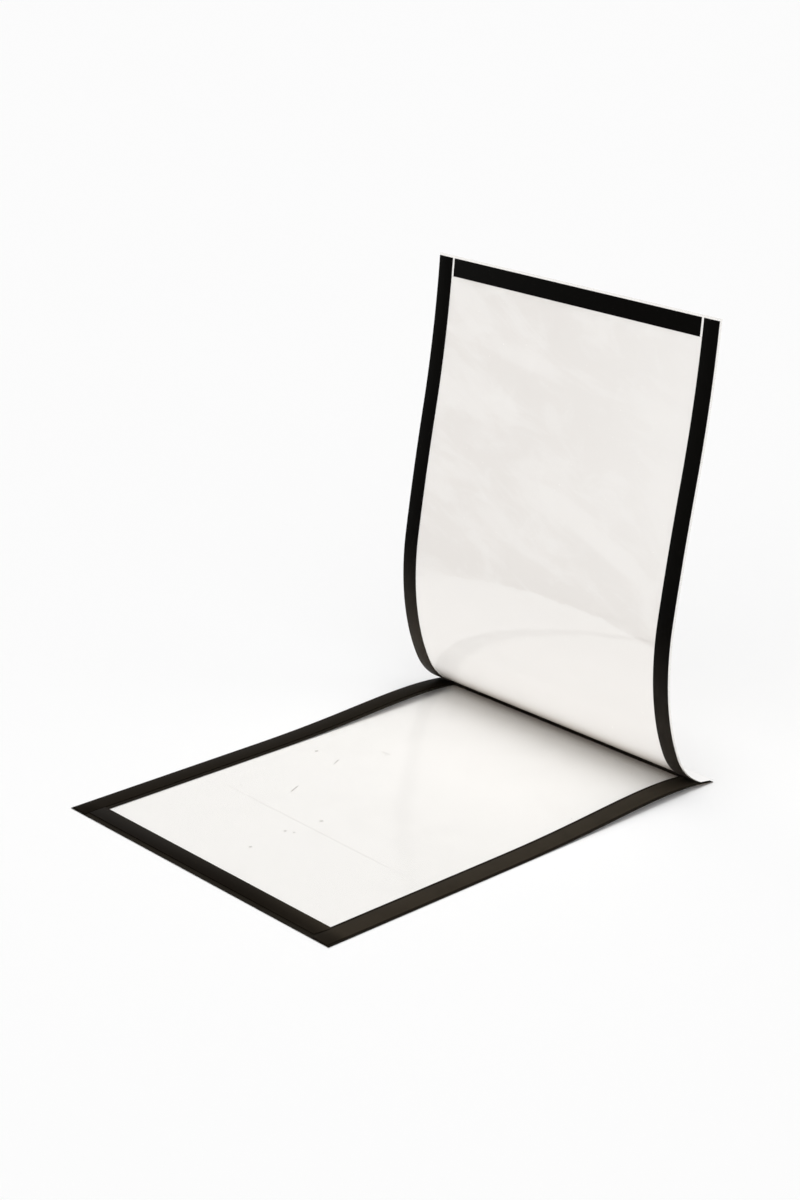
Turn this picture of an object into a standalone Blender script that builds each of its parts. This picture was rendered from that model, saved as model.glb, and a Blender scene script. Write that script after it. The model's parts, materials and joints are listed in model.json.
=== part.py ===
"""A magnetic sign frame for an A4 sheet, lying open on a table.

Two equal leaves of film are bonded along one short edge. The lower leaf, the base, is clear and
lies on the table, arching slightly towards the hinge edge. The upper leaf, the cover, is milky and
stands up from the bonded edge in a soft S-curve. Black magnet strips edge both inner faces.
The cover is a chain of stiff links, so that it can bend back or close flat on the base.
"""

import math

import bmesh
import bpy
from mathutils import Vector

MM = 0.001

# Both leaves
LEAF_WIDTH = 220 * MM
LEAF_LENGTH = 310 * MM
FILM = 0.2 * MM
STRIP_THICKNESS = 0.5 * MM
LAYER_GAP = 0.08 * MM

# Arch of the base: it leaves the table here and comes back to it at the hinge edge
ARCH_START = 130 * MM
ARCH_HEIGHT = 4 * MM
ARCH_FACETS = 36

# Black border layer of the base
BORDER_THICKNESS = 0.08 * MM
BORDER_SIDE = 15.5 * MM
BORDER_NEAR = 15 * MM
BORDER_FAR = 14 * MM

# Magnet strips of the base, laid by hand: each inset is from the film's edge
BASE_STRIP_WIDTH = 11.5 * MM
BASE_LEFT_INSET = 1 * MM
BASE_RIGHT_INSET = 1.6 * MM
BASE_NEAR_INSET = 3.4 * MM
BASE_FAR_INSET = 0.8 * MM
BASE_END_INSET = 0.8 * MM
BASE_STRIP_JOINT = 0.4 * MM
NEAR_STRIP_SKEW = 1.5 * MM

# Bonded edge: a tape between the base's far strip and the flap of the cover
FLAP_WIDTH = 12 * MM
TAPE_INSET = 1.2 * MM
TAPE_SIDE_INSET = 2 * MM

# Magnet strips of the cover
COVER_STRIP_WIDTH = 11 * MM
COVER_LEFT_INSET = 0.3 * MM
COVER_RIGHT_INSET = 1.3 * MM
COVER_TOP_INSET = 1.5 * MM
TOP_STRIP_JOINT = 1.7 * MM
FOLD_CLEARANCE = 0.8 * MM
COVER_SHORTFALL = 2 * MM

# Curve of the cover, one link to a stretch: length, and slope angle at the far end.
# The angles are degrees: 0 points towards the near edge and 90 straight up.
FOLD_ANGLE = 24
CURL_LENGTH = 30 * MM
CURL_ANGLE = 63
LOWER_RISE_LENGTH = 25 * MM
LOWER_RISE_ANGLE = 74.5
UPPER_RISE_LENGTH = 30 * MM
UPPER_RISE_ANGLE = 85.7
BELLY_LENGTH = 35 * MM
BELLY_ANGLE = 97.3
LEAN_LENGTH = 80 * MM
LEAN_ANGLE = 100
TIP_ANGLE = 93

# Gaps where the cover bends
FILM_JOINT = 0.2 * MM
STRIP_JOINT = 0.5 * MM
LINK_FACET = 6 * MM

# Heights of the layers above the base film's underside
BORDER_LOW = FILM + LAYER_GAP
BORDER_TOP = BORDER_LOW + BORDER_THICKNESS
STRIP_LOW = BORDER_TOP + LAYER_GAP
STRIP_TOP = STRIP_LOW + STRIP_THICKNESS
COVER_STRIP_LOW = STRIP_TOP + LAYER_GAP
COVER_STRIP_TOP = COVER_STRIP_LOW + STRIP_THICKNESS
COVER_FILM_LOW = COVER_STRIP_TOP + LAYER_GAP
COVER_FILM_TOP = COVER_FILM_LOW + FILM
PIVOT_HEIGHT = COVER_FILM_LOW + FILM / 2

# Places along the leaves, from the near edge
FOLD = LEAF_LENGTH - FLAP_WIDTH
COVER_LENGTH = FOLD - COVER_SHORTFALL

# Side strips of the cover, from the left edge
COVER_LEFT_INNER = COVER_LEFT_INSET + COVER_STRIP_WIDTH
COVER_RIGHT_OUTER = LEAF_WIDTH - COVER_RIGHT_INSET
COVER_RIGHT_INNER = COVER_RIGHT_OUTER - COVER_STRIP_WIDTH
COVER_SIDES = {
    "left": (COVER_LEFT_INSET, COVER_LEFT_INNER),
    "right": (COVER_RIGHT_INNER, COVER_RIGHT_OUTER),
}

# Offsets from the middle of the cover film: its strips lie on the inner face
FILM_HALF = FILM / 2
COVER_STRIP_INNER = -(FILM_HALF + LAYER_GAP + STRIP_THICKNESS)
COVER_STRIP_OUTER = -(FILM_HALF + LAYER_GAP)

# A cubic rise times a linear fall peaks at 27/256, so this factor brings the peak to 1
ARCH_PEAK_FACTOR = 256 / 27


def clear_scene():
    for old in list(bpy.data.objects):
        bpy.data.objects.remove(old, do_unlink=True)


def make_material(name, colour, roughness, alpha=1.0):
    material = bpy.data.materials.new(name)
    material.use_nodes = True
    shader = material.node_tree.nodes["Principled BSDF"]
    shader.inputs["Base Color"].default_value = (*colour, 1)
    shader.inputs["Roughness"].default_value = roughness
    shader.inputs["Metallic"].default_value = 0
    shader.inputs["Alpha"].default_value = alpha
    return material


def lift(along):
    """Height of the base film's underside above the table, this far from the near edge."""
    share = (along - ARCH_START) / (LEAF_LENGTH - ARCH_START)
    share = min(max(share, 0), 1)
    return ARCH_HEIGHT * ARCH_PEAK_FACTOR * share**3 * (1 - share)


def cut_across(mesh, place, direction):
    """Cut every face along the line through this place, square to this direction."""
    geometry = mesh.verts[:] + mesh.edges[:] + mesh.faces[:]
    bmesh.ops.bisect_plane(mesh, geom=geometry, plane_co=place, plane_no=direction)


def thicken(mesh, step):
    """Extrude all faces of a sheet by this step into one closed solid."""
    raised = bmesh.ops.extrude_face_region(mesh, geom=mesh.faces[:])
    verts = [item for item in raised["geom"] if isinstance(item, bmesh.types.BMVert)]
    bmesh.ops.translate(mesh, verts=verts, vec=step)
    bmesh.ops.recalc_face_normals(mesh, faces=mesh.faces[:])


def add_object(name, mesh, material, parent=None):
    data = bpy.data.meshes.new(name)
    mesh.to_mesh(data)
    mesh.free()
    data.materials.append(material)
    piece = bpy.data.objects.new(name, data)
    bpy.context.scene.collection.objects.link(piece)
    piece.parent = parent
    return piece


def rectangle(left, right, near, far):
    return [(left, near), (right, near), (right, far), (left, far)]


def base_layer(name, outline, low, high, material, window=None):
    """A flat layer bent to the arch. The outline is measured from the left and near edges."""
    mesh = bmesh.new()
    mesh.faces.new([mesh.verts.new((across, along, 0)) for across, along in outline])
    for index in range(ARCH_FACETS):
        along = ARCH_START + index / ARCH_FACETS * (LEAF_LENGTH - ARCH_START)
        cut_across(mesh, (0, along, 0), (0, 1, 0))
    if window:
        cut_window(mesh, *window)
    thicken(mesh, (0, 0, high - low))
    for vert in mesh.verts:
        vert.co.z += low + lift(vert.co.y)
    to_centre = Vector((-LEAF_WIDTH / 2, -LEAF_LENGTH / 2, 0))
    bmesh.ops.translate(mesh, verts=mesh.verts[:], vec=to_centre)
    return add_object(name, mesh, material)


def cut_window(mesh, left, right, near, far):
    for across in (left, right):
        cut_across(mesh, (across, 0, 0), (1, 0, 0))
    for along in (near, far):
        cut_across(mesh, (0, along, 0), (0, 1, 0))
    inside = []
    for face in mesh.faces:
        middle = face.calc_center_median()
        if left < middle.x < right and near < middle.y < far:
            inside.append(face)
    bmesh.ops.delete(mesh, geom=inside, context="FACES")


def arc_point(bend, distance, offset):
    """A point on a link's arc, which starts at the origin towards -Y and bends up to +Z."""
    turn = bend * distance
    if abs(turn) < 1e-9:
        return Vector((0, -distance, offset))
    forward = math.sin(turn) / bend
    upward = (1 - math.cos(turn)) / bend
    return Vector((0, -forward + offset * math.sin(turn), upward + offset * math.cos(turn)))


def link_layer(name, link, left, right, start, end, inner, outer, material):
    """A layer of one link, swept across the leaf between two edges measured from its left."""
    facets = math.ceil(link["length"] / LINK_FACET)
    stops = [index * link["length"] / facets for index in range(1, facets)]
    stops = [start] + [stop for stop in stops if start < stop < end] + [end]
    mesh = bmesh.new()
    rows = []
    for stop in stops:
        rows.append([mesh.verts.new(arc_point(link["bend"], stop, offset)) for offset in (inner, outer)])
    for lower, upper in zip(rows, rows[1:]):
        mesh.faces.new([lower[0], upper[0], upper[1], lower[1]])
    bmesh.ops.translate(mesh, verts=mesh.verts[:], vec=(left - LEAF_WIDTH / 2, 0, 0))
    thicken(mesh, (right - left, 0, 0))
    return add_object(name, mesh, material, link["hinge"])


def plan_links():
    """Length, bend per metre and first slope of each link, from the fold to the free edge.

    The first link is straight, along the chord of its stretch, so that it can lie flat on the base.
    """
    stretches = [
        (CURL_LENGTH, CURL_ANGLE),
        (LOWER_RISE_LENGTH, LOWER_RISE_ANGLE),
        (UPPER_RISE_LENGTH, UPPER_RISE_ANGLE),
        (BELLY_LENGTH, BELLY_ANGLE),
        (LEAN_LENGTH, LEAN_ANGLE),
    ]
    tip_length = COVER_LENGTH - sum(length for length, _ in stretches)
    stretches.append((tip_length, TIP_ANGLE))
    links = []
    slope = math.radians(FOLD_ANGLE)
    for length, end_angle in stretches:
        turn = math.radians(end_angle) - slope
        if links:
            links.append({"length": length, "bend": turn / length, "slope": slope})
        else:
            chord = length * math.sin(turn / 2) / (turn / 2)
            links.append({"length": chord, "bend": 0, "slope": slope + turn / 2})
        slope += turn
    return links


def hang_links(links):
    """Give each link an empty on its hinge axis, each carried by the one before it."""
    carrier = None
    for number, link in enumerate(links, 1):
        hinge = bpy.data.objects.new(f"hinge_{number:02d}", None)
        bpy.context.scene.collection.objects.link(hinge)
        if carrier is None:
            hinge.location = (0, FOLD - LEAF_LENGTH / 2, lift(FOLD) + PIVOT_HEIGHT)
            hinge.rotation_euler.x = -link["slope"]
        else:
            hinge.parent = carrier["hinge"]
            hinge.location = arc_point(carrier["bend"], carrier["length"], 0)
            hinge.rotation_euler.x = carrier["slope"] - link["slope"]
        link["hinge"] = hinge
        carrier = link


def build_base(film, border, magnet):
    base_layer("base_film", rectangle(0, LEAF_WIDTH, 0, LEAF_LENGTH), 0, FILM, film)
    window = (
        BORDER_SIDE,
        LEAF_WIDTH - BORDER_SIDE,
        BORDER_NEAR,
        LEAF_LENGTH - BORDER_FAR,
    )
    outline = rectangle(0, LEAF_WIDTH, 0, LEAF_LENGTH)
    base_layer("base_border", outline, BORDER_LOW, BORDER_TOP, border, window)

    left_inner = BASE_LEFT_INSET + BASE_STRIP_WIDTH
    right_outer = LEAF_WIDTH - BASE_RIGHT_INSET
    right_inner = right_outer - BASE_STRIP_WIDTH
    far_high = LEAF_LENGTH - BASE_FAR_INSET
    far_low = far_high - BASE_STRIP_WIDTH
    far = rectangle(BASE_LEFT_INSET, right_outer, far_low, far_high)
    side_span = (BASE_END_INSET, far_low - BASE_STRIP_JOINT)
    left = rectangle(BASE_LEFT_INSET, left_inner, *side_span)
    right = rectangle(right_inner, right_outer, *side_span)

    between_left = left_inner + BASE_STRIP_JOINT
    between_right = right_inner - BASE_STRIP_JOINT
    near_low = BASE_NEAR_INSET
    near_high = BASE_NEAR_INSET + BASE_STRIP_WIDTH
    near = [
        (between_left, near_low),
        (between_right - NEAR_STRIP_SKEW, near_low),
        (between_right, near_high),
        (between_left, near_high),
    ]
    strips = {"left": left, "right": right, "near": near, "far": far}
    for side, outline in strips.items():
        base_layer(f"base_{side}_strip", outline, STRIP_LOW, STRIP_TOP, magnet)


def build_bonded_edge(film, tape):
    tape_near = FOLD + FOLD_CLEARANCE
    tape_far = LEAF_LENGTH - TAPE_INSET
    tape_right = LEAF_WIDTH - TAPE_SIDE_INSET
    tape_outline = rectangle(TAPE_SIDE_INSET, tape_right, tape_near, tape_far)
    base_layer("hinge_tape", tape_outline, COVER_STRIP_LOW, COVER_STRIP_TOP, tape)
    flap_outline = rectangle(0, LEAF_WIDTH, FOLD + FILM_JOINT / 2, LEAF_LENGTH)
    base_layer("cover_hinge_flap", flap_outline, COVER_FILM_LOW, COVER_FILM_TOP, film)


def build_cover(film, magnet):
    links = plan_links()
    hang_links(links)
    last = len(links)
    for number, link in enumerate(links, 1):
        film_end = link["length"] - (FILM_JOINT / 2 if number < last else 0)
        film_span = (FILM_JOINT / 2, film_end)
        strip_start = FOLD_CLEARANCE if number == 1 else STRIP_JOINT / 2
        strip_end = link["length"] - (STRIP_JOINT / 2 if number < last else COVER_TOP_INSET)
        strip_span = (strip_start, strip_end)
        strip_depth = (COVER_STRIP_INNER, COVER_STRIP_OUTER)
        film_depth = (-FILM_HALF, FILM_HALF)
        link_layer(f"cover_film_{number:02d}", link, 0, LEAF_WIDTH, *film_span, *film_depth, film)
        for side, edges in COVER_SIDES.items():
            name = f"cover_{side}_strip_{number:02d}"
            link_layer(name, link, *edges, *strip_span, *strip_depth, magnet)
    top_edges = (COVER_LEFT_INNER + TOP_STRIP_JOINT, COVER_RIGHT_INNER - TOP_STRIP_JOINT)
    top_end = links[-1]["length"] - COVER_TOP_INSET
    top_span = (top_end - COVER_STRIP_WIDTH, top_end)
    link_layer("cover_top_strip", links[-1], *top_edges, *top_span, *strip_depth, magnet)


def build():
    clear_scene()
    clear = make_material("clear_film", (0.93, 0.93, 0.92), 0.12, 0.3)
    milky = make_material("milky_film", (0.86, 0.85, 0.82), 0.12, 0.85)
    border = make_material("black_border", (0.02, 0.018, 0.014), 0.6)
    magnet = make_material("magnet_strip", (0.012, 0.011, 0.01), 0.35)
    tape = make_material("bonding_tape", (0.75, 0.73, 0.68), 0.7)
    build_base(clear, border, magnet)
    build_bonded_edge(milky, tape)
    build_cover(milky, magnet)


build()
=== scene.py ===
import json
import math

import bpy
from mathutils import Matrix, Vector


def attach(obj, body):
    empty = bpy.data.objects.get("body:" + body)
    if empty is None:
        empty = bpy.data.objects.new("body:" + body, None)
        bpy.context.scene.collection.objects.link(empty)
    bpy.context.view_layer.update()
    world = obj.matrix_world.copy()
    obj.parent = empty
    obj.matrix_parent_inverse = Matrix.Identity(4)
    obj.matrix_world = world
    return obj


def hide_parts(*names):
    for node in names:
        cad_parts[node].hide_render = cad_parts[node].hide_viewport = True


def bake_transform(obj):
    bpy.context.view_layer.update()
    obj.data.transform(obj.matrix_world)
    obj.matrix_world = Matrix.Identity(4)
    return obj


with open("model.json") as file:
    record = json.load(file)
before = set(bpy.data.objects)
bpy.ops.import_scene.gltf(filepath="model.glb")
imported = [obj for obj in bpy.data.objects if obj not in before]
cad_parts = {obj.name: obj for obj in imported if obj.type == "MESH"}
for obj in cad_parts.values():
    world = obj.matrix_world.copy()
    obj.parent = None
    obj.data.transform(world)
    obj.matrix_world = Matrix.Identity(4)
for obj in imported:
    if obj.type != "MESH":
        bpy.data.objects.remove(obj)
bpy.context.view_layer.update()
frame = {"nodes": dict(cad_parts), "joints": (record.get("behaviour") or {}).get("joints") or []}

# Sizes in metres, the same as the CAD model's
LEAF_WIDTH = 0.220
LEAF_LENGTH = 0.310
FILM = 0.0002
STRIP = 0.0005
GAP = 0.00008
FLAP = 0.012
ARCH_START = 0.130
ARCH_HEIGHT = 0.004
COVER_LENGTH = 0.296
PIVOT_HEIGHT = 0.0017

# The cover's curve from the fold to the free edge: length of each arc and slope angle at its end
FOLD_ANGLE = 24
CURVE = [(0.030, 63), (0.025, 74.5), (0.030, 85.7), (0.035, 97.3), (0.080, 100), (0.096, 93)]
SWEEP_STEP = 0.001
SMOOTH_ANGLE = math.radians(30)

# Magnet strips of the cover, from the leaf's left edge
LEFT_STRIP = (0.0003, 0.0113)
RIGHT_STRIP = (0.2077, 0.2187)
TOP_STRIP = (0.0130, 0.2060)
TOP_INSET = 0.0015
STRIP_WIDTH = 0.011
EDGE_ROUNDING = 0.00012

# Where the cover's strips start above the fold, and how far out the fold's own bend reaches. With
# this reach the closed cover clears the base's arch.
FOLD_CLEARANCE = 0.0008
FOLD_REACH = 0.021

# Marks on the base's window, each with its start, end, width and strength: a faint crease across
# the window, three hairs and five small spots
MARKS = (
    ((-0.097, -0.0668), (0.097, -0.0699), 0.0009, 0.035),
    ((-0.0439, -0.0462), (-0.0484, -0.0348), 0.0006, 0.26),
    ((-0.0565, -0.0005), (-0.0602, 0.0083), 0.0006, 0.18),
    ((-0.0515, 0.0336), (-0.0424, 0.0349), 0.0005, 0.16),
    ((-0.0042, -0.0590), (-0.0025, -0.0566), 0.0012, 0.18),
    ((-0.0788, 0.0045), (-0.0773, 0.0066), 0.0011, 0.22),
    ((-0.0054, -0.1108), (-0.0038, -0.1088), 0.0011, 0.20),
    ((-0.0080, -0.0829), (-0.0064, -0.0809), 0.0010, 0.18),
    ((-0.0033, -0.0801), (-0.0018, -0.0784), 0.0009, 0.16),
)

WHITE = (1, 1, 1)

# Light of the studio: strength of the sky, what is added on the camera's side and straight from
# above, the direction of the camera's side, and the rays that meet plain white instead
SKY = 0.40
FRONT_LIGHT = 1.30
OVERHEAD_LIGHT = 1.18
FRONT = (0.715, -0.699, 0)
SEEN_RAYS = ("Is Camera Ray", "Is Glossy Ray", "Is Transmission Ray")


# Modelling


def lift(along):
    """Height of the base's arch at this distance from the near edge: ARCH_HEIGHT at its top."""
    share = min(max((along - ARCH_START) / (LEAF_LENGTH - ARCH_START), 0), 1)
    return ARCH_HEIGHT * 256 / 27 * share**3 * (1 - share)


def curve_arcs():
    """Each arc of the cover's curve: start and end distance, start point, start angle and bend."""
    fold = LEAF_LENGTH - FLAP
    point = Vector((0, fold - LEAF_LENGTH / 2, lift(fold) + PIVOT_HEIGHT))
    angle = math.radians(FOLD_ANGLE)
    start = 0
    arcs = []
    for length, end_angle in CURVE:
        bend = (math.radians(end_angle) - angle) / length
        arcs.append((start, start + length, point.copy(), angle, bend))
        end = angle + bend * length
        point += Vector((0, math.sin(angle) - math.sin(end), math.cos(angle) - math.cos(end))) / bend
        angle = end
        start += length
    return arcs


ARCS = curve_arcs()


def curve_at(distance):
    """Point, slope angle and bend of the cover's curve at this distance from the fold."""
    for start, end, point, angle, bend in ARCS:
        if distance <= end + 1e-9:
            break
    turned = angle + bend * (distance - start)
    step = Vector((0, math.sin(angle) - math.sin(turned), math.cos(angle) - math.cos(turned)))
    return point + step / bend, turned, bend


# The cover's top strip: its ends along the curve, and the height of its lower edge
TOP_END = COVER_LENGTH - TOP_INSET
TOP_START = TOP_END - STRIP_WIDTH
TOP_STRIP_LOW = curve_at(TOP_START)[0].z


def outward(angle):
    """Direction at right angles to the curve, towards its outer side."""
    return Vector((0, math.sin(angle), math.cos(angle)))


def start_piece(name):
    """Name the object that was just added."""
    bpy.context.object.name = name
    return bpy.context.object


def deselect():
    if bpy.context.mode != "OBJECT":
        bpy.ops.object.mode_set(mode="OBJECT")
    bpy.ops.object.select_all(action="DESELECT")


def pick(piece):
    deselect()
    piece.select_set(True)
    bpy.context.view_layer.objects.active = piece


def swept(name, left, right, inner, outer, start, end, rounding):
    """A layer of the cover between two edges and two offsets, swept along the curve."""
    point, angle, _ = curve_at(start)
    middle = point + outward(angle) * (inner + outer) / 2
    middle.x = (left + right) / 2 - LEAF_WIDTH / 2
    deselect()
    bpy.ops.mesh.primitive_plane_add(size=1, location=middle, rotation=(math.pi / 2 - angle, 0, 0))
    piece = start_piece(name)
    piece.scale = (right - left, outer - inner, 1)
    bpy.ops.object.transform_apply(location=True, rotation=True, scale=True)
    bpy.ops.object.mode_set(mode="EDIT")
    bpy.ops.mesh.select_all(action="SELECT")
    if rounding:
        bpy.ops.mesh.bevel(offset=rounding, segments=2, affect="VERTICES")
    for arc_start, arc_end, arc_point, arc_angle, bend in ARCS:
        low, high = max(start, arc_start), min(end, arc_end)
        if high - low < 1e-6:
            continue
        centre = arc_point + outward(arc_angle) / bend
        steps = max(1, round((high - low) / SWEEP_STEP))
        bpy.ops.mesh.spin(steps=steps, angle=bend * (high - low), center=centre, axis=(1, 0, 0))
    bpy.ops.mesh.select_all(action="SELECT")
    bpy.ops.mesh.remove_doubles(threshold=1e-7)
    bpy.ops.mesh.normals_make_consistent(inside=False)
    bpy.ops.object.mode_set(mode="OBJECT")
    bpy.ops.object.shade_smooth_by_angle(angle=SMOOTH_ANGLE)
    deselect()
    return piece


def dressed(node, name, rounding):
    """A copy of a CAD node with joined faces and softened edges, which takes the node's place."""
    source = frame["nodes"][node]
    piece = bpy.data.objects.new(name, source.data.copy())
    bpy.context.scene.collection.objects.link(piece)
    piece.data.materials.clear()
    pick(piece)
    bpy.ops.object.mode_set(mode="EDIT")
    bpy.ops.mesh.select_all(action="SELECT")
    bpy.ops.mesh.remove_doubles(threshold=1e-6)
    bpy.ops.mesh.tris_convert_to_quads()
    bpy.ops.object.mode_set(mode="OBJECT")
    if rounding:
        bevel = piece.modifiers.new("soft edges", "BEVEL")
        bevel.width = rounding
        bevel.segments = 2
        bevel.angle_limit = math.radians(50)
        bpy.ops.object.modifier_apply(modifier=bevel.name)
    bpy.ops.object.shade_smooth_by_angle(angle=SMOOTH_ANGLE)
    deselect()
    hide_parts(node)
    return piece


# Shader maths


class Value:
    """A shader socket that takes part in Python arithmetic."""

    def __init__(self, finish, socket):
        self.finish = finish
        self.socket = socket

    def math(self, operation, *others):
        """A Math node on this value and the others."""
        return self.finish.node("ShaderNodeMath", {"operation": operation}, self, *others)

    def __add__(self, other):
        return self.math("ADD", other)

    __radd__ = __add__

    def __mul__(self, other):
        return self.math("MULTIPLY", other)

    __rmul__ = __mul__

    def __sub__(self, other):
        return self.math("SUBTRACT", other)

    def __rsub__(self, other):
        return self.finish.node("ShaderNodeMath", {"operation": "SUBTRACT"}, other, self)

    def __pow__(self, other):
        return self.math("POWER", other)

    def rise(self, low, high):
        """0 below low, 1 above high, and a smooth step between them."""
        settings = {"interpolation_type": "SMOOTHSTEP"}
        return self.finish.node("ShaderNodeMapRange", settings, self, low, high)


class Finish:
    """The nodes of a material, or of the world, under construction."""

    def __init__(self, name, world=None):
        self.material = world or bpy.data.materials.new(name)
        self.material.use_nodes = True
        self.tree = self.material.node_tree
        self.tree.nodes.clear()
        kind = "ShaderNodeOutputWorld" if world else "ShaderNodeOutputMaterial"
        self.output = self.tree.nodes.new(kind)

    def node(self, kind, settings, *values, out=0, **named):
        """A new node: its settings, then the values or links of its sockets, by place or by name."""
        made = self.tree.nodes.new(kind)
        for key, value in settings.items():
            setattr(made, key, value)
        for key, value in [*enumerate(values), *named.items()]:
            socket = made.inputs[key if isinstance(key, int) else key.replace("_", " ")]
            if isinstance(value, Value):
                self.tree.links.new(value.socket, socket)
            else:
                socket.default_value = (*value, 1) if socket.type == "RGBA" else value
        return Value(self, made.outputs[out])

    def place(self):
        """Object coordinates as a vector and its three values."""
        where = self.node("ShaderNodeTexCoord", {}, out="Object")
        return where, *self.split(where)

    def split(self, vector):
        """The three values of a vector."""
        first = self.node("ShaderNodeSeparateXYZ", {}, vector)
        outputs = first.socket.node.outputs
        return Value(self, outputs[0]), Value(self, outputs[1]), Value(self, outputs[2])

    def noise(self, where, scale, detail, roughness=0.5, distortion=0):
        return self.node(
            "ShaderNodeTexNoise", {}, Vector=where, Scale=scale, Detail=detail,
            Roughness=roughness, Distortion=distortion,
        )

    def stretched(self, where, scale, turn=(0, 0, 0)):
        """The place, turned and then scaled, for a pattern with a grain in one direction."""
        turned = self.node("ShaderNodeMapping", {}, Vector=where, Rotation=turn)
        return self.node("ShaderNodeMapping", {}, Vector=turned, Scale=scale)

    def blend(self, mask, first, second):
        """The first colour where the mask is 0, and the second where it is 1.

        Sockets 0, 6 and 7 of the Mix node are its factor and colours, and output 2 is its colour.
        """
        made = self.tree.nodes.new("ShaderNodeMix")
        made.data_type = "RGBA"
        made.clamp_factor = True
        for index, value in ((0, mask), (6, first), (7, second)):
            if isinstance(value, Value):
                self.tree.links.new(value.socket, made.inputs[index])
            else:
                made.inputs[index].default_value = (*value, 1) if index else value
        return Value(self, made.outputs[2])

    def bump(self, height, distance, strength):
        return self.node("ShaderNodeBump", {}, Strength=strength, Distance=distance, Height=height)

    def surface(self, shader):
        self.tree.links.new(shader.socket, self.output.inputs["Surface"])
        return self.material


# Finishes


def glossy_film(finish, tint, milk, passed, share, glow, shine, blur):
    """Film of a clear tint with a share of milk in it, under a slightly wavy mirror surface.

    The milk's part given by glow passes the light from behind softly, in the colour passed. The
    mirror's strength is shine, which rises at a slant as it does on plastic, and its roughness blur.
    """
    where = finish.place()[0]
    waves = finish.noise(where, 12, 2, 0.4) + 0.005 * finish.noise(where, 220, 2)
    facing = finish.node("ShaderNodeLayerWeight", {}, 0.5, out="Facing")
    clear = finish.node("ShaderNodeBsdfTransparent", {}, tint)
    body = finish.node(
        "ShaderNodeBsdfPrincipled", {}, Base_Color=milk, Roughness=0.5, Specular_IOR_Level=0,
    )
    behind = finish.node("ShaderNodeBsdfTranslucent", {}, passed)
    body = finish.node("ShaderNodeMixShader", {}, glow, body, behind)
    mirror = finish.node(
        "ShaderNodeBsdfPrincipled", {}, Base_Color=WHITE, Metallic=1, Roughness=blur,
        Normal=finish.bump(waves, 0.0012, 1),
    )
    under = finish.node("ShaderNodeMixShader", {}, share, clear, body)
    over = shine * (0.04 + 0.96 * facing**5)
    return finish.surface(finish.node("ShaderNodeMixShader", {}, over, under, mirror))


def mark(across, along, start, end, width, strength):
    """The strength of a thin straight mark, and 0 beside it."""
    length = math.dist(start, end)
    step_across = (end[0] - start[0]) / length
    step_along = (end[1] - start[1]) / length
    beyond = (across - start[0]) * step_across + (along - start[1]) * step_along
    aside = ((across - start[0]) * step_along - (along - start[1]) * step_across).math("ABSOLUTE")
    ends = beyond.rise(0, 0.3 * length) * (length - beyond).rise(0, 0.3 * length)
    return strength * (1 - aside.rise(0.2 * width, width)) * ends


def clear_film():
    """Film of the base: faint clouds, a few specks and marks, and painted shade that makes it browner
    next to the fold.
    """
    finish = Finish("clear film")
    where, across, along, _ = finish.place()
    clouds = finish.noise(where, 14, 3).rise(0.45, 0.7)
    specks = finish.noise(where, 700, 1).rise(0.80, 0.83)
    # Painted shade: next to the fold the film takes more of the milk, and that milk is brown
    painted_fold_shade = along.rise(0.128, 0.145)
    marks = sum(mark(across, along, *each) for each in MARKS)
    share = 0.01 + 0.02 * clouds + 0.3 * specks + 0.45 * painted_fold_shade + marks
    painted_shade_and_marks = painted_fold_shade + (marks * 40).math("MINIMUM", 1)
    # The brown milk serves both the painted shade at the fold and the real hairs, spots and crease
    milk = finish.blend(painted_shade_and_marks, (0.86, 0.84, 0.81), (0.26, 0.16, 0.09))
    return glossy_film(
        finish, tint=(0.981, 0.977, 0.970), milk=milk, passed=(0.93, 0.92, 0.90), share=share,
        glow=0.4, shine=0.3, blur=0.16,
    )


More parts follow.
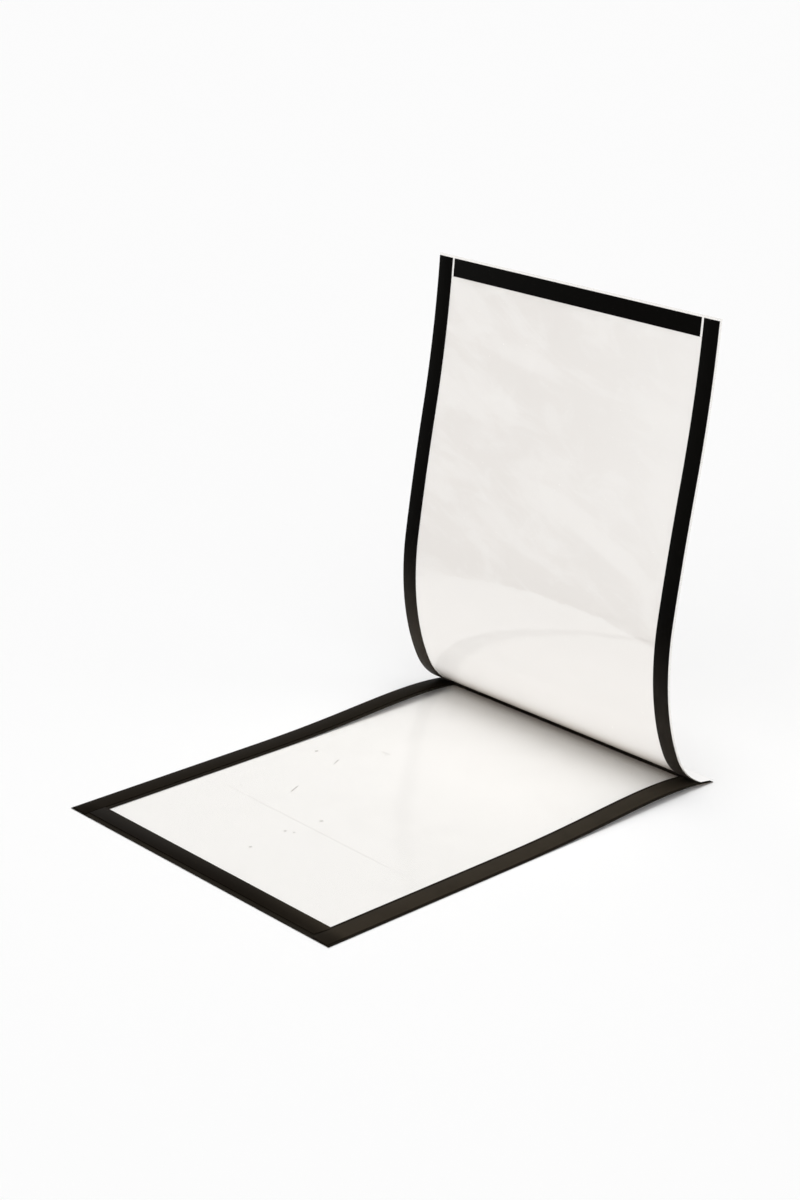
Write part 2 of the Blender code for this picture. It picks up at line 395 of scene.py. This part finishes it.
def milky_film():
    """Film of the cover: milky, with painted reflections as lighter streaks aslant, lighter on the
    right and in a zone with a ragged edge above the fold, a painted shade that browns the foot, and
    clear where the magnet strips lie on it."""
    finish = Finish("milky film")
    where, across, _, height = finish.place()
    # Painted reflections: lighter streaks aslant, lighter towards the right, and a lighter zone with a
    # ragged edge above the fold
    reflection_swirl = finish.noise(finish.stretched(where, (12, 34, 38), (0, -0.30, 0)), 1, 6, 0.62, 0.9)
    reflection_blots = finish.noise(finish.stretched(where, (30, 45, 55), (0, -0.25, 0)), 1, 5, 0.6, 1.0)
    streaks = 0.7 * reflection_swirl.rise(0.46, 0.64) + 0.5 * reflection_blots.rise(0.5, 0.68)
    ragged = finish.noise(finish.stretched(where, (60, 8, 8)), 1, 3, 0.6)
    bow = across - 0.02
    reflection_zone_edge = 0.0985 - 1.2 * bow * bow + 0.006 * ragged
    painted_reflection_zone = 1 - (height - reflection_zone_edge).rise(-0.0006, 0.0006)
    painted_light_right = across.rise(-0.05, 0.25) * height.rise(0.08, 0.18)
    light = (0.9 * streaks + 2 * painted_light_right) * (1 - painted_reflection_zone) + painted_reflection_zone
    milk = finish.blend(light, (0.89, 0.860, 0.833), (1.0, 0.988, 0.973))
    specks = finish.noise(where, 700, 1).rise(0.80, 0.83)
    # Painted shade at the foot next to the fold: the milk turns browner there, and the film is also
    # made opaque there
    foot_painted_shade_and_opacity = 1 - height.rise(0.004, 0.024)
    above_flap = height.rise(0.0039, 0.0046)
    milk = finish.blend(foot_painted_shade_and_opacity * above_flap, milk, (0.80, 0.74, 0.67))
    beside = (across + 0.0005).math("ABSOLUTE").rise(0.0979, 0.0983)
    on_strips = beside.math("MAXIMUM", height.rise(TOP_STRIP_LOW - 0.0002, TOP_STRIP_LOW + 0.0002))
    share = (0.72 + 0.28 * foot_painted_shade_and_opacity + 0.2 * specks) * (1 - 0.92 * on_strips * above_flap)
    # The milk passes more light from behind in the painted reflections' streaks and zone
    through = 0.22 * streaks * (1 - painted_reflection_zone) + 0.4 * painted_reflection_zone * height.rise(0, 0.07)
    glow = (0.6 + through) * (1 - foot_painted_shade_and_opacity)
    return glossy_film(
        finish, tint=(0.982, 0.970, 0.955), milk=milk, passed=(0.984, 0.969, 0.952), share=share,
        glow=glow, shine=1, blur=0,
    )


def magnet_rubber(finish, light, dark_colour, painted_sheen_colour, specular):
    """Black magnetic rubber: fine grain, faint scuffs, a little dust, and a painted sheen, paler where
    light is 1.
    """
    where = finish.place()[0]
    grain = finish.noise(where, 2600, 2, 0.6)
    cloudy = finish.noise(where, 40, 3, 0.6)
    streaks = finish.noise(finish.stretched(where, (600, 40, 40)), 1, 3, 0.6)
    scuff = streaks.rise(0.62, 0.8) * cloudy.rise(0.45, 0.7)
    dust = finish.noise(where, 1500, 1).rise(0.80, 0.84)
    # Paler by the painted sheen where light is 1, varied by the clouds and by the scuffs' wear
    colour = finish.blend(light * (0.6 + 0.8 * cloudy) + 0.1 * scuff, dark_colour, painted_sheen_colour)
    colour = finish.blend(0.4 * dust, colour, (0.10, 0.09, 0.08))
    roughness = 0.4 + 0.12 * cloudy + 0.15 * scuff
    body = finish.node(
        "ShaderNodeBsdfPrincipled", {}, Base_Color=colour, Roughness=roughness,
        Specular_IOR_Level=specular, Normal=finish.bump(grain, 0.00002, 0.5),
    )
    return finish.surface(body)


def base_rubber():
    """Strips of the base: warm black, with a painted sheen that is paler towards the right side and
    darker at the near edge.
    """
    finish = Finish("magnet strip of the base")
    _, across, along, _ = finish.place()
    # Painted sheen: paler towards the right side and darker on the near strip
    past_near = along.rise(-0.150, -0.138)
    light = 0.21 * past_near + 0.79 * across.rise(0.02, 0.112) * (0.35 + 0.65 * past_near)
    return magnet_rubber(finish, light, (0.0062, 0.0045, 0.0028), (0.033, 0.0265, 0.0190), 0.01)


def cover_rubber():
    """Strips of the cover: deep black, with a painted reflection that makes them paler where they curl
    at the fold, most of all at the left.
    """
    finish = Finish("magnet strip of the cover")
    _, across, _, height = finish.place()
    # Painted reflection: paler low on the strips where they curl at the fold, most of all at the left
    light = (1 - height.rise(0.01, 0.115)) * (0.8 - 2.5 * across)
    return magnet_rubber(finish, light, (0.0022, 0.0020, 0.0016), (0.052, 0.043, 0.034), 0.02)


def black_layer():
    """Thin black layer round the base's window: matt, with fine grain and faint clouds."""
    finish = Finish("black border layer")
    where = finish.place()[0]
    grain = finish.noise(where, 1800, 2, 0.6)
    cloudy = finish.noise(where, 45, 3, 0.6)
    colour = finish.blend(cloudy, (0.010, 0.008, 0.006), (0.020, 0.017, 0.012))
    body = finish.node(
        "ShaderNodeBsdfPrincipled", {}, Base_Color=colour, Roughness=0.5 + 0.1 * cloudy,
        Specular_IOR_Level=0.01, Normal=finish.bump(grain, 0.00001, 0.4),
    )
    return finish.surface(body)


def bonding_tape():
    """Double-sided tape: off-white, with fibres across it."""
    finish = Finish("bonding tape")
    where = finish.place()[0]
    fibre = finish.noise(finish.stretched(where, (200, 1400, 400)), 1, 4, 0.7)
    colour = finish.blend(fibre, (0.86, 0.85, 0.82), (0.94, 0.93, 0.91))
    body = finish.node(
        "ShaderNodeBsdfPrincipled", {}, Base_Color=colour, Roughness=0.65,
        Normal=finish.bump(fibre, 0.00003, 0.5),
    )
    return finish.surface(body)


def give(piece, material):
    """Give a piece its finish."""
    piece.data.materials.clear()
    piece.data.materials.append(material)


BASE_FILM = clear_film()
COVER_FILM = milky_film()
BASE_MAGNET = base_rubber()
COVER_MAGNET = cover_rubber()
BORDER = black_layer()
TAPE = bonding_tape()


# Base leaf

for node, name, material, slot, rounding in (
    ("base_film", "base_film_sheet", BASE_FILM, "clear_film", 0),
    ("base_border", "base_border_layer", BORDER, "black_border", 0),
    ("base_left_strip", "base_left_magnet", BASE_MAGNET, "magnet_strip", EDGE_ROUNDING),
    ("base_right_strip", "base_right_magnet", BASE_MAGNET, "magnet_strip", EDGE_ROUNDING),
    ("base_near_strip", "base_near_magnet", BASE_MAGNET, "magnet_strip", EDGE_ROUNDING),
    ("base_far_strip", "base_far_magnet", BASE_MAGNET, "magnet_strip", EDGE_ROUNDING),
    ("hinge_tape", "hinge_tape_layer", TAPE, "bonding_tape", 0),
    ("cover_hinge_flap", "fold_flap", COVER_FILM, "milky_film", 0),
):
    piece = dressed(node, name, rounding)
    give(piece, material)
    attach(piece, "base")


# Cover leaf, in pieces cut along its curve between the fold and the free edge

SEARCH_STEP = 0.0005
hinges = [joint["pos_m"] for joint in frame["joints"]]
bodies = ["base"] + [joint["child"] for joint in frame["joints"]]


def distance_of(place):
    """Distance along the curve of the point nearest to this place."""
    target = Vector(place)
    count = round(COVER_LENGTH / SEARCH_STEP)
    steps = [index * SEARCH_STEP for index in range(count + 1)]
    return min(steps, key=lambda step: (curve_at(step)[0] - target).length)


joint_distances = [distance_of(place) for place in hinges]
ends = joint_distances[1:] + [COVER_LENGTH]
middles = [(low + high) / 2 for low, high in zip(joint_distances, ends)]
middles[0] = FOLD_REACH
FILM_DEPTH = (-FILM / 2, FILM / 2)
STRIP_DEPTH = (-FILM / 2 - GAP - STRIP, -FILM / 2 - GAP)

starts = [0] + middles
stops = middles + [COVER_LENGTH]
for number, (start, stop) in enumerate(zip(starts, stops)):
    last = number == len(middles)
    strip_start = max(start, FOLD_CLEARANCE)
    strip_stop = min(stop, TOP_END)
    strip = (STRIP_DEPTH, strip_start, strip_stop, EDGE_ROUNDING, COVER_MAGNET, "magnet_strip")
    layers = (
        ("film", "film", (0, LEAF_WIDTH), FILM_DEPTH, start, stop, 0, COVER_FILM, "milky_film"),
        ("left_magnet", "left_strip", LEFT_STRIP, *strip),
        ("right_magnet", "right_strip", RIGHT_STRIP, *strip),
    )
    for layer, kind, sides, depth, low, high, rounding, material, slot in layers:
        piece = swept(f"cover_{layer}_{number + 1}", *sides, *depth, low, high, rounding)
        give(piece, material)
        if last:
            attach(piece, bodies[-1])
        else:
            bodies[number + 1]
            curve_at(start)[0]
            curve_at(stop)[0]
            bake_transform(piece)
        if number:
            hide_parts(f"cover_{kind}_{number:02d}")
piece = swept("cover_top_magnet", *TOP_STRIP, *STRIP_DEPTH, TOP_START, TOP_END, EDGE_ROUNDING)
give(piece, COVER_MAGNET)
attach(piece, bodies[-1])
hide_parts("cover_top_strip")


# Floor, light and camera

deselect()
bpy.ops.mesh.primitive_plane_add(size=24, location=(0, 0, -0.0001))
floor = start_piece("floor")
finish = Finish("pale floor")
mottle = finish.noise(finish.place()[0], 3, 2)
colour = finish.blend(mottle, (0.963, 0.963, 0.963), (0.967, 0.967, 0.967))
body = finish.node(
    "ShaderNodeBsdfPrincipled", {}, Base_Color=colour, Roughness=0.9, Specular_IOR_Level=0,
)
floor.data.materials.append(finish.surface(body))

# Even white light, a little stronger from the camera's side and weak near the horizon. What is seen
# directly, in a gloss or through the film is plain white.
world = bpy.data.worlds.new("studio")
bpy.context.scene.world = world
studio = Finish("studio", world)
direction = studio.node("ShaderNodeTexCoord", {}, out="Generated")
front = studio.node("ShaderNodeVectorMath", {"operation": "DOT_PRODUCT"}, direction, FRONT, out="Value")
above = studio.split(direction)[2].rise(-0.1, 0.5)
strength = (SKY + FRONT_LIGHT * front.math("MAXIMUM", 0)) * above
path = [studio.node("ShaderNodeLightPath", {}, out=kind) for kind in SEEN_RAYS]
seen = path[0].math("MAXIMUM", path[1]).math("MAXIMUM", path[2])
lit = studio.node("ShaderNodeBackground", {}, Color=WHITE, Strength=strength)
plain = studio.node("ShaderNodeBackground", {}, Color=WHITE, Strength=1)
studio.surface(studio.node("ShaderNodeMixShader", {}, seen, lit, plain))

deselect()
bpy.ops.object.light_add(type="SUN", location=(0, 0, 2))
overhead = start_piece("overhead light")
overhead.data.energy = OVERHEAD_LIGHT
overhead.data.angle = math.radians(35)

# The camera was fitted to the photograph: target on the floor, distance, direction and roll
TARGET = Vector((-0.237707, 0.229208, 0))
DISTANCE = 1.691373
AZIMUTH = math.radians(45.6719)
ELEVATION = math.radians(20.2318)
ROLL = math.radians(1.5045)
FOCAL_PIXELS = 2359.29
IMAGE_HEIGHT = 1200
SENSOR = 36

back = Vector((
    math.sin(AZIMUTH) * math.cos(ELEVATION),
    -math.cos(AZIMUTH) * math.cos(ELEVATION),
    math.sin(ELEVATION),
))
right = (-back).cross(Vector((0, 0, 1))).normalized()
up = right.cross(-back)
turned_right = right * math.cos(ROLL) + up * math.sin(ROLL)
turned_up = up * math.cos(ROLL) - right * math.sin(ROLL)
deselect()
bpy.ops.object.camera_add()
camera = start_piece("camera")
camera.data.sensor_width = SENSOR
camera.data.lens = FOCAL_PIXELS / IMAGE_HEIGHT * SENSOR
camera.data.clip_start = 0.05
camera.matrix_world = Matrix.Translation(TARGET + back * DISTANCE) @ Matrix(
    (turned_right, turned_up, back)
).transposed().to_4x4()
bpy.context.scene.camera = camera
bpy.context.scene.view_settings.view_transform = "Standard"
